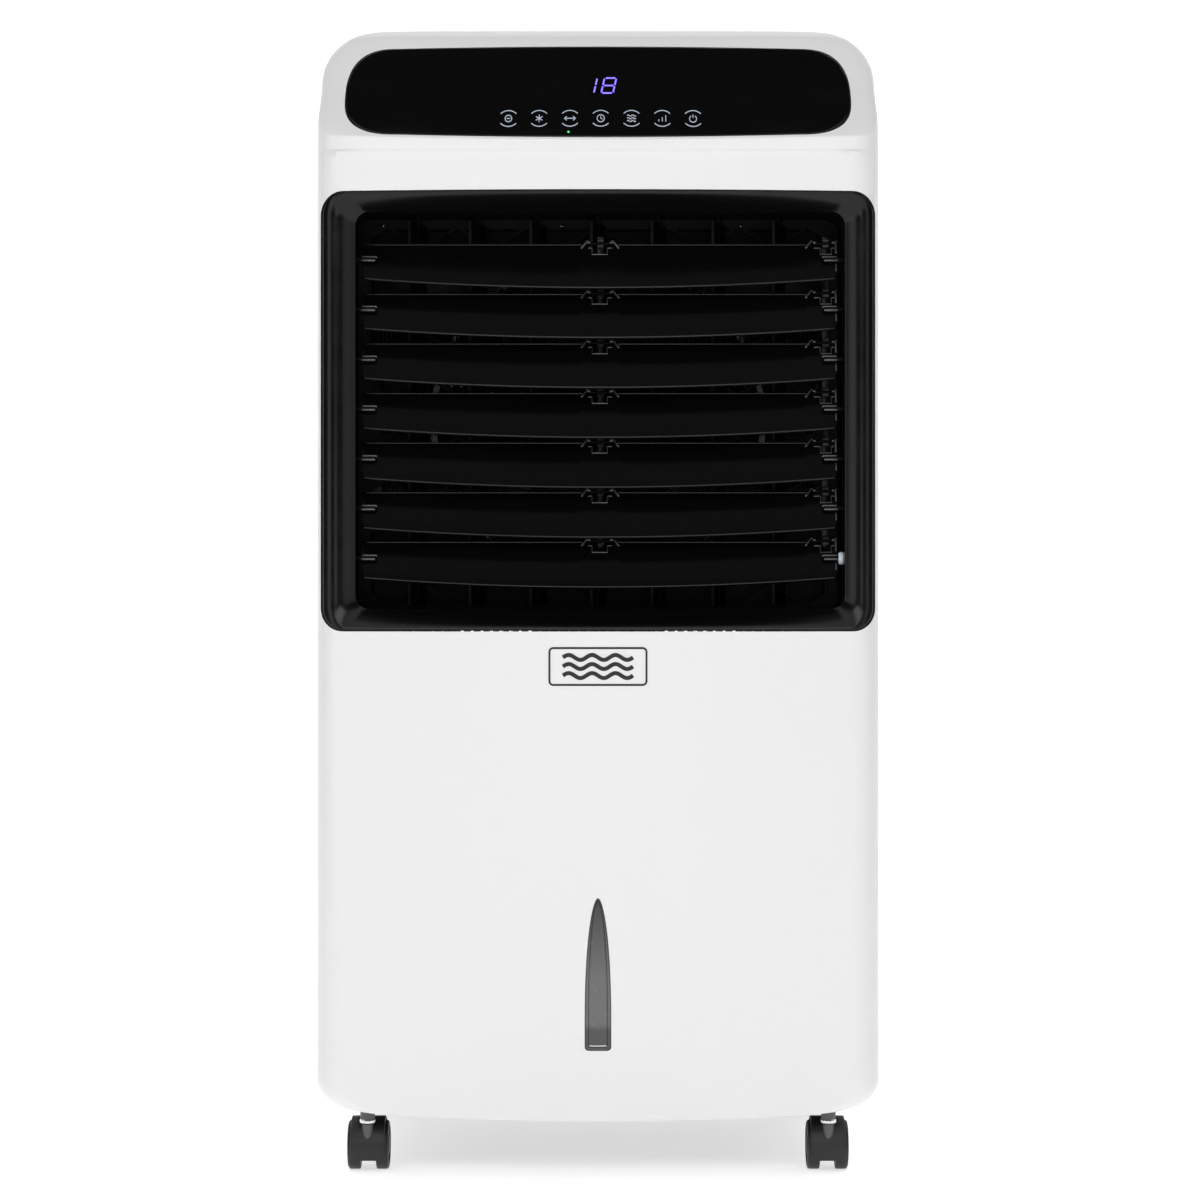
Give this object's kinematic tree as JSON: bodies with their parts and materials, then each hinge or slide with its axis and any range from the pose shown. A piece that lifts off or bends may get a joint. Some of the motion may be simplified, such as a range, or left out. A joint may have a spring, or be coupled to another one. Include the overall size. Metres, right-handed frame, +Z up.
{
  "type": "evaporative cooler",
  "caption": "Portable room air cooler on casters: white upright cabinet, sloping black touch panel, black framed outlet with linked louvres, water drawer.",
  "frame": {"origin": "on the floor, under the middle of the cabinet's bounding box", "axes": "+Z up, the front with the outlet and the control panel faces -Y, +X is the viewer's right when facing the front"},
  "size_m": [0.39, 0.33, 0.8],
  "materials": {
    "casing": "glossy white moulding",
    "underside": "fine-grained dark moulding",
    "black_gloss": "high-gloss black",
    "control_glass": "polished black panel with lit symbols",
    "smoked_window": "smoked clear plastic",
    "black_satin": "satin black",
    "bare_steel": "bare steel",
    "chromed_steel": "bright chromed steel",
    "nylon": "natural nylon",
    "heater_fins": "crimped aluminium fins",
    "dark_plastic": "dark grey moulding",
    "pad_paper": "corrugated treated paper",
    "tank_plastic": "translucent milky plastic",
    "hose_rubber": "soft clear tube",
    "mesh_cloth": "woven dust mesh",
    "circuit_board": "green circuit board",
    "caster_plastic": "dark grey moulding",
    "caster_tread": "smooth hard nylon wheel"
  },
  "bodies": {
    "cabinet": {"front_shell": "casing", "top_cover": "casing", "side_panel_left": "casing", "side_panel_right": "casing", "rear_shell": "casing", "base_tray": "underside", "louvre_bezel": "black_gloss", "control_panel": "control_glass", "level_window": "smoked_window", "air_duct": "black_satin", "louvre_motor": "bare_steel", "guard_grille": "black_satin", "heater_frame": "black_satin", "heater_core": "heater_fins", "fan_shroud": "dark_plastic", "fan_ring": "dark_plastic", "fan_motor": "bare_steel", "motor_bracket": "bare_steel", "cooling_pad": "pad_paper", "drip_trough": "tank_plastic", "water_hose": "hose_rubber", "cable_gland": "dark_plastic", "control_board": "circuit_board", "ioniser": "dark_plastic", "caster_stem_front_left": "chromed_steel", "caster_stem_front_right": "chromed_steel", "caster_stem_rear_left": "chromed_steel", "caster_stem_rear_right": "chromed_steel"},
    "louvre_1": {"louvre_1": "black_gloss"},
    "louvre_2": {"louvre_2": "black_gloss"},
    "louvre_3": {"louvre_3": "black_gloss"},
    "louvre_4": {"louvre_4": "black_gloss"},
    "louvre_5": {"louvre_5": "black_gloss"},
    "louvre_6": {"louvre_6": "black_gloss"},
    "louvre_7": {"louvre_7": "black_gloss", "louvre_coupling": "nylon"},
    "louvre_link_centre": {"louvre_link_centre": "black_satin"},
    "louvre_link_right": {"louvre_link_right": "black_satin"},
    "vane_1": {"vane_1": "black_satin"},
    "vane_2": {"vane_2": "black_satin"},
    "vane_3": {"vane_3": "black_satin"},
    "vane_4": {"vane_4": "black_satin"},
    "vane_5": {"vane_5": "black_satin"},
    "vane_6": {"vane_6": "black_satin"},
    "vane_7": {"vane_7": "black_satin"},
    "vane_link": {"vane_link": "black_satin"},
    "fan": {"fan_impeller": "dark_plastic"},
    "tank": {"water_tank": "tank_plastic", "water_pump": "dark_plastic"},
    "filter": {"filter_frame": "casing", "filter_mesh": "mesh_cloth"},
    "caster_front_left": {"caster_hood_front_left": "caster_plastic"},
    "wheels_front_left": {"caster_wheels_front_left": "caster_tread"},
    "caster_front_right": {"caster_hood_front_right": "caster_plastic"},
    "wheels_front_right": {"caster_wheels_front_right": "caster_tread"},
    "caster_rear_left": {"caster_hood_rear_left": "caster_plastic"},
    "wheels_rear_left": {"caster_wheels_rear_left": "caster_tread"},
    "caster_rear_right": {"caster_hood_rear_right": "caster_plastic"},
    "wheels_rear_right": {"caster_wheels_rear_right": "caster_tread"}
  },
  "joints": [
    {"name": "louvre_1_tilt", "type": "hinge", "parent": "cabinet", "child": "louvre_1", "pos_m": [0, -0.13, 0.6324], "axis": [-1, 0, 0], "range_deg": [-22, 65]},
    {"name": "louvre_2_tilt", "type": "hinge", "parent": "cabinet", "child": "louvre_2", "pos_m": [0, -0.13, 0.59784], "axis": [-1, 0, 0], "range_deg": [-22, 65]},
    {"name": "louvre_3_tilt", "type": "hinge", "parent": "cabinet", "child": "louvre_3", "pos_m": [0, -0.13, 0.56328], "axis": [-1, 0, 0], "range_deg": [-22, 65]},
    {"name": "louvre_4_tilt", "type": "hinge", "parent": "cabinet", "child": "louvre_4", "pos_m": [0, -0.13, 0.52872], "axis": [-1, 0, 0], "range_deg": [-22, 65]},
    {"name": "louvre_5_tilt", "type": "hinge", "parent": "cabinet", "child": "louvre_5", "pos_m": [0, -0.13, 0.49416], "axis": [-1, 0, 0], "range_deg": [-22, 65]},
    {"name": "louvre_6_tilt", "type": "hinge", "parent": "cabinet", "child": "louvre_6", "pos_m": [0, -0.13, 0.4596], "axis": [-1, 0, 0], "range_deg": [-22, 65]},
    {"name": "louvre_7_tilt", "type": "hinge", "parent": "cabinet", "child": "louvre_7", "pos_m": [0, -0.13, 0.42504], "axis": [-1, 0, 0], "range_deg": [-22, 65]},
    {"name": "louvre_link_centre_pivot", "type": "hinge", "parent": "louvre_7", "child": "louvre_link_centre", "pos_m": [0.0018, -0.12008, 0.43721], "axis": [-1, 0, 0], "range_deg": [-65, 22]},
    {"name": "louvre_link_right_pivot", "type": "hinge", "parent": "louvre_7", "child": "louvre_link_right", "pos_m": [0.1587, -0.12008, 0.43721], "axis": [-1, 0, 0], "range_deg": [-65, 22]},
    {"name": "vane_1_turn", "type": "hinge", "parent": "cabinet", "child": "vane_1", "pos_m": [-0.1278, -0.09, 0.527], "axis": [0, 0, 1], "range_deg": [-16, 45]},
    {"name": "vane_2_turn", "type": "hinge", "parent": "cabinet", "child": "vane_2", "pos_m": [-0.0852, -0.09, 0.527], "axis": [0, 0, 1], "range_deg": [-16, 45]},
    {"name": "vane_3_turn", "type": "hinge", "parent": "cabinet", "child": "vane_3", "pos_m": [-0.0426, -0.09, 0.527], "axis": [0, 0, 1], "range_deg": [-16, 45]},
    {"name": "vane_4_turn", "type": "hinge", "parent": "cabinet", "child": "vane_4", "pos_m": [0, -0.09, 0.527], "axis": [0, 0, 1], "range_deg": [-16, 45]},
    {"name": "vane_5_turn", "type": "hinge", "parent": "cabinet", "child": "vane_5", "pos_m": [0.0426, -0.09, 0.527], "axis": [0, 0, 1], "range_deg": [-16, 45]},
    {"name": "vane_6_turn", "type": "hinge", "parent": "cabinet", "child": "vane_6", "pos_m": [0.0852, -0.09, 0.527], "axis": [0, 0, 1], "range_deg": [-16, 45]},
    {"name": "vane_7_turn", "type": "hinge", "parent": "cabinet", "child": "vane_7", "pos_m": [0.1278, -0.09, 0.527], "axis": [0, 0, 1], "range_deg": [-16, 45]},
    {"name": "vane_link_pivot", "type": "hinge", "parent": "vane_4", "child": "vane_link", "pos_m": [0.00376, -0.07548, 0.527], "axis": [0, 0, 1], "range_deg": [-45, 16]},
    {"name": "fan_spin", "type": "hinge", "parent": "cabinet", "child": "fan", "pos_m": [0, -0.015, 0.527], "axis": [0, 1, 0], "continuous": true},
    {"name": "tank_slide", "type": "slide", "parent": "cabinet", "child": "tank", "axis": [0, 1, 0], "range_m": [0, 0.3]},
    {"name": "filter_tilt", "type": "hinge", "parent": "cabinet", "child": "filter", "pos_m": [0, 0.1628, 0.3312], "axis": [-1, 0, 0], "range_deg": [0, 75]},
    {"name": "caster_front_left_swivel", "type": "hinge", "parent": "cabinet", "child": "caster_front_left", "pos_m": [-0.1594, -0.1392, 0.034], "axis": [0, 0, 1], "continuous": true},
    {"name": "wheels_front_left_spin", "type": "hinge", "parent": "caster_front_left", "child": "wheels_front_left", "pos_m": [-0.1594, -0.124, 0.017], "axis": [1, 0, 0], "continuous": true},
    {"name": "caster_front_right_swivel", "type": "hinge", "parent": "cabinet", "child": "caster_front_right", "pos_m": [0.1594, -0.1392, 0.034], "axis": [0, 0, 1], "continuous": true},
    {"name": "wheels_front_right_spin", "type": "hinge", "parent": "caster_front_right", "child": "wheels_front_right", "pos_m": [0.1594, -0.124, 0.017], "axis": [1, 0, 0], "continuous": true},
    {"name": "caster_rear_left_swivel", "type": "hinge", "parent": "cabinet", "child": "caster_rear_left", "pos_m": [-0.1594, 0.118, 0.034], "axis": [0, 0, 1], "continuous": true},
    {"name": "wheels_rear_left_spin", "type": "hinge", "parent": "caster_rear_left", "child": "wheels_rear_left", "pos_m": [-0.1594, 0.1332, 0.017], "axis": [1, 0, 0], "continuous": true},
    {"name": "caster_rear_right_swivel", "type": "hinge", "parent": "cabinet", "child": "caster_rear_right", "pos_m": [0.1594, 0.118, 0.034], "axis": [0, 0, 1], "continuous": true},
    {"name": "wheels_rear_right_spin", "type": "hinge", "parent": "caster_rear_right", "child": "wheels_rear_right", "pos_m": [0.1594, 0.1332, 0.017], "axis": [1, 0, 0], "continuous": true}
  ],
  "couplings": [
    {"joint": "louvre_1_tilt", "follows": "louvre_7_tilt", "ratio": 1},
    {"joint": "louvre_2_tilt", "follows": "louvre_7_tilt", "ratio": 1},
    {"joint": "louvre_3_tilt", "follows": "louvre_7_tilt", "ratio": 1},
    {"joint": "louvre_4_tilt", "follows": "louvre_7_tilt", "ratio": 1},
    {"joint": "louvre_5_tilt", "follows": "louvre_7_tilt", "ratio": 1},
    {"joint": "louvre_6_tilt", "follows": "louvre_7_tilt", "ratio": 1},
    {"joint": "louvre_link_centre_pivot", "follows": "louvre_7_tilt", "ratio": -1},
    {"joint": "louvre_link_right_pivot", "follows": "louvre_7_tilt", "ratio": -1},
    {"joint": "vane_1_turn", "follows": "vane_4_turn", "ratio": 1},
    {"joint": "vane_2_turn", "follows": "vane_4_turn", "ratio": 1},
    {"joint": "vane_3_turn", "follows": "vane_4_turn", "ratio": 1},
    {"joint": "vane_5_turn", "follows": "vane_4_turn", "ratio": 1},
    {"joint": "vane_6_turn", "follows": "vane_4_turn", "ratio": 1},
    {"joint": "vane_7_turn", "follows": "vane_4_turn", "ratio": 1},
    {"joint": "vane_link_pivot", "follows": "vane_4_turn", "ratio": -1}
  ]
}
